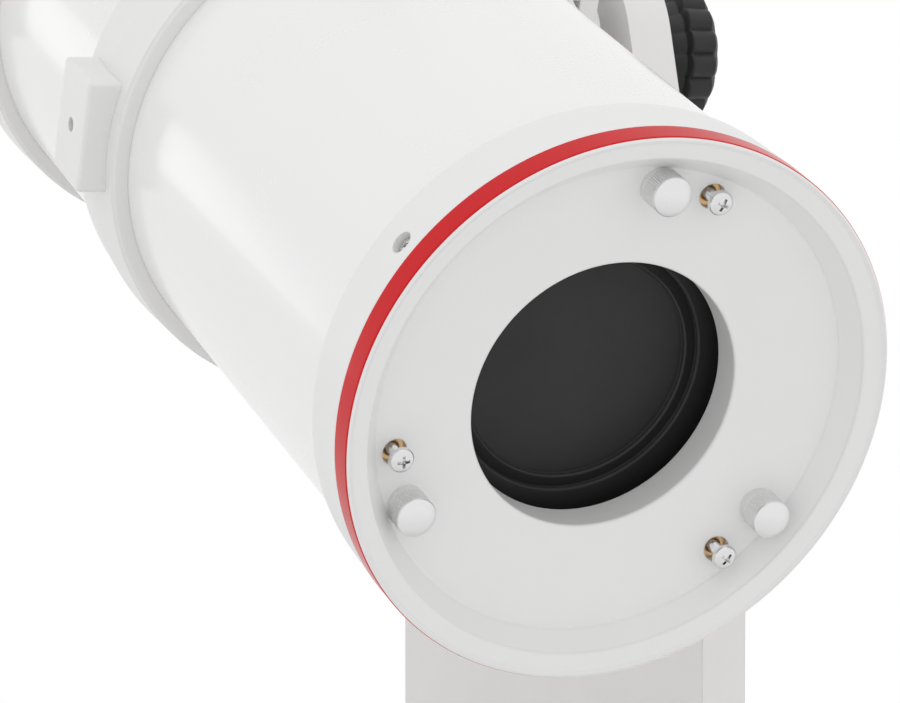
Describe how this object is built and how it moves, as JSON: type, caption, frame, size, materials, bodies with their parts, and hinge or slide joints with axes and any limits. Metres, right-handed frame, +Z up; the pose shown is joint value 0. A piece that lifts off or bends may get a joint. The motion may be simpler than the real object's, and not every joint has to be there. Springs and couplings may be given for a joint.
{
  "type": "tabletop reflecting telescope",
  "caption": "White tabletop reflecting telescope: tube in hinged rings on one arm with a scalloped altitude knob, round turntable base, red accent band, adjustable mirror cell.",
  "frame": {"origin": "on the azimuth axis at floor level, under the middle of the tube at rest", "axes": "+Z up, +Y along the tube from its rear cell to its open front (which is lifted 21 degrees), +X towards the arm"},
  "size_m": [0.4359, 0.7086, 0.658],
  "materials": {
    "white_tube_paint": "high gloss white paint",
    "white_cast_paint": "satin white powder coat",
    "white_board": "white melamine faced board",
    "red_gloss": "gloss red",
    "black_plastic": "moulded black",
    "black_metal": "matt black paint",
    "satin_aluminium": "satin turned",
    "bright_steel": "bright plated",
    "brass": "turned",
    "steel": "zinc plated",
    "ptfe": "waxy",
    "felt": "felt",
    "rubber": "matt",
    "mirror": "coated glass"
  },
  "bodies": {
    "ground": {"ground_board": "white_board", "ground_feet": "rubber", "foot_screws": "steel", "azimuth_pads": "ptfe", "azimuth_bolt": "steel", "azimuth_nut": "steel"},
    "turntable": {"azimuth_board": "white_board", "azimuth_bushing": "ptfe", "arm_board": "white_board", "arm_cleat": "white_board", "arm_screws": "steel", "altitude_bushing": "ptfe", "friction_washers": "ptfe"},
    "saddle": {"altitude_hub": "white_cast_paint", "altitude_bolt": "steel", "saddle_base": "white_cast_paint"},
    "altitude_knob": {"altitude_knob": "black_plastic"},
    "saddle_jaw": {"saddle_jaw": "white_cast_paint"},
    "saddle_knob": {"saddle_knob": "black_plastic"},
    "ring_carrier": {"dovetail_bar": "satin_aluminium", "dovetail_bolts": "steel", "ring_hinge_pins": "steel", "ring_liners": "felt", "rear_ring_fixed_half": "white_cast_paint", "front_ring_fixed_half": "white_cast_paint"},
    "rear_ring_swing": {"rear_ring_swing_half": "white_cast_paint", "rear_ring_liner": "felt"},
    "front_ring_swing": {"front_ring_swing_half": "white_cast_paint", "front_ring_liner": "felt"},
    "rear_ring_knob": {"rear_ring_knob": "black_plastic"},
    "front_ring_knob": {"front_ring_knob": "black_plastic"},
    "tube": {"main_tube": "white_tube_paint", "rear_cell": "white_cast_paint", "rear_accent_band": "red_gloss", "cell_screws": "steel", "lock_inserts": "brass", "front_end_ring": "white_cast_paint", "front_accent_band": "red_gloss", "collimation_springs": "steel", "spider": "black_metal", "tube_screws": "steel", "secondary_holder": "black_metal", "secondary_mirror": "mirror", "secondary_screws": "steel", "focuser_base": "black_plastic", "finder_shoe": "black_plastic"},
    "primary_cell": {"mirror_cell": "black_metal", "primary_mirror": "mirror", "mirror_clips": "black_metal"},
    "drawtube": {"drawtube": "bright_steel", "eyepiece_adapter": "black_metal"},
    "focus_knobs": {"focus_knobs": "black_plastic"},
    "focuser_lock_screw": {"focuser_lock_screw": "satin_aluminium"},
    "eyepiece_screw": {"eyepiece_screw": "satin_aluminium"},
    "collimation_knob_1": {"collimation_knob_1": "satin_aluminium"},
    "lock_screw_1": {"lock_screw_1": "bright_steel"},
    "collimation_knob_2": {"collimation_knob_2": "satin_aluminium"},
    "lock_screw_2": {"lock_screw_2": "bright_steel"},
    "collimation_knob_3": {"collimation_knob_3": "satin_aluminium"},
    "lock_screw_3": {"lock_screw_3": "bright_steel"}
  },
  "joints": [
    {"name": "azimuth_turn", "type": "hinge", "parent": "ground", "child": "turntable", "pos_m": [0, 0, 0], "axis": [0, 0, 1], "continuous": true},
    {"name": "altitude_tilt", "type": "hinge", "parent": "turntable", "child": "saddle", "pos_m": [-0.02, -0.01774, 0.41376], "axis": [1, 0, 0], "range_deg": [-21, 69]},
    {"name": "altitude_knob_turn", "type": "hinge", "parent": "saddle", "child": "altitude_knob", "pos_m": [-0.02, -0.01774, 0.41376], "axis": [1, 0, 0], "range_deg": [-180, 180]},
    {"name": "saddle_knob_turn", "type": "hinge", "parent": "saddle", "child": "saddle_knob", "pos_m": [0.08765, -0.01774, 0.41376], "axis": [0, -0.3584, 0.9336], "range_deg": [0, 720]},
    {"name": "saddle_jaw_slide", "type": "slide", "parent": "saddle", "child": "saddle_jaw", "axis": [0, -0.3584, 0.9336], "range_m": [0, 0.0025]},
    {"name": "dovetail_slide", "type": "slide", "parent": "saddle", "child": "ring_carrier", "axis": [0, 0.9336, 0.3584], "range_m": [0, 0.03]},
    {"name": "rear_ring_open", "type": "hinge", "parent": "ring_carrier", "child": "rear_ring_swing", "pos_m": [-0.02, -0.06086, 0.28892], "axis": [0, -0.9336, -0.3584], "range_deg": [0, 75]},
    {"name": "rear_ring_knob_turn", "type": "hinge", "parent": "rear_ring_swing", "child": "rear_ring_knob", "pos_m": [-0.02, -0.13544, 0.48319], "axis": [1, 0, 0], "range_deg": [-180, 180]},
    {"name": "front_ring_open", "type": "hinge", "parent": "ring_carrier", "child": "front_ring_swing", "pos_m": [-0.02, 0.08571, 0.34518], "axis": [0, -0.9336, -0.3584], "range_deg": [0, 75]},
    {"name": "front_ring_knob_turn", "type": "hinge", "parent": "front_ring_swing", "child": "front_ring_knob", "pos_m": [-0.02, 0.01113, 0.53946], "axis": [1, 0, 0], "range_deg": [-180, 180]},
    {"name": "tube_roll", "type": "hinge", "parent": "ring_carrier", "child": "tube", "pos_m": [-0.02, -0.01774, 0.41376], "axis": [0, 0.9336, 0.3584], "range_deg": [-30, 30]},
    {"name": "primary_tilt", "type": "hinge", "parent": "tube", "child": "primary_cell", "pos_m": [-0.02188, -0.27718, 0.27566], "axis": [-0.9986, -0.0188, 0.0489], "range_deg": [0, 0.43]},
    {"name": "collimation_knob_1_turn", "type": "hinge", "parent": "tube", "child": "collimation_knob_1", "pos_m": [-0.01623, -0.33478, 0.36908], "axis": [0, 0.9336, 0.3584], "range_deg": [0, 360]},
    {"name": "lock_screw_1_turn", "type": "hinge", "parent": "tube", "child": "lock_screw_1", "pos_m": [0.00255, -0.33352, 0.36579], "axis": [0, 0.9336, 0.3584], "range_deg": [-360, 360]},
    {"name": "collimation_knob_2_turn", "type": "hinge", "parent": "tube", "child": "collimation_knob_2", "pos_m": [-0.08415, -0.2973, 0.27144], "axis": [0, 0.9336, 0.3584], "range_deg": [-360, 360]},
    {"name": "lock_screw_2_turn", "type": "hinge", "parent": "tube", "child": "lock_screw_2", "pos_m": [-0.09049, -0.30376, 0.28826], "axis": [0, 0.9336, 0.3584], "range_deg": [-360, 360]},
    {"name": "collimation_knob_3_turn", "type": "hinge", "parent": "tube", "child": "collimation_knob_3", "pos_m": [0.04038, -0.29496, 0.26534], "axis": [0, 0.9336, 0.3584], "range_deg": [-360, 360]},
    {"name": "lock_screw_3_turn", "type": "hinge", "parent": "tube", "child": "lock_screw_3", "pos_m": [0.02794, -0.28976, 0.2518], "axis": [0, 0.9336, 0.3584], "range_deg": [-360, 360]},
    {"name": "focus_turn", "type": "hinge", "parent": "tube", "child": "focus_knobs", "pos_m": [-0.10811, 0.17814, 0.58333], "axis": [0.7071, -0.2534, 0.6601], "range_deg": [-383, 422]},
    {"name": "drawtube_slide", "type": "slide", "parent": "tube", "child": "drawtube", "axis": [-0.7071, -0.2534, 0.6601], "range_m": [-0.02, 0.022]},
    {"name": "focuser_lock_turn", "type": "hinge", "parent": "tube", "child": "focuser_lock_screw", "pos_m": [-0.10811, 0.2331, 0.60442], "axis": [0, 0.9336, 0.3584], "range_deg": [-180, 180]},
    {"name": "eyepiece_screw_turn", "type": "hinge", "parent": "drawtube", "child": "eyepiece_screw", "pos_m": [-0.15124, 0.17619, 0.62878], "axis": [0, -0.9336, -0.3584], "range_deg": [-180, 180]}
  ],
  "couplings": [
    {"joint": "saddle_knob_turn", "follows": "saddle_jaw_slide", "rad_per_m": 5020},
    {"joint": "primary_tilt", "follows": "collimation_knob_1_turn", "ratio": 0.0011789},
    {"joint": "focus_turn", "follows": "drawtube_slide", "rad_per_m": 333.33}
  ]
}
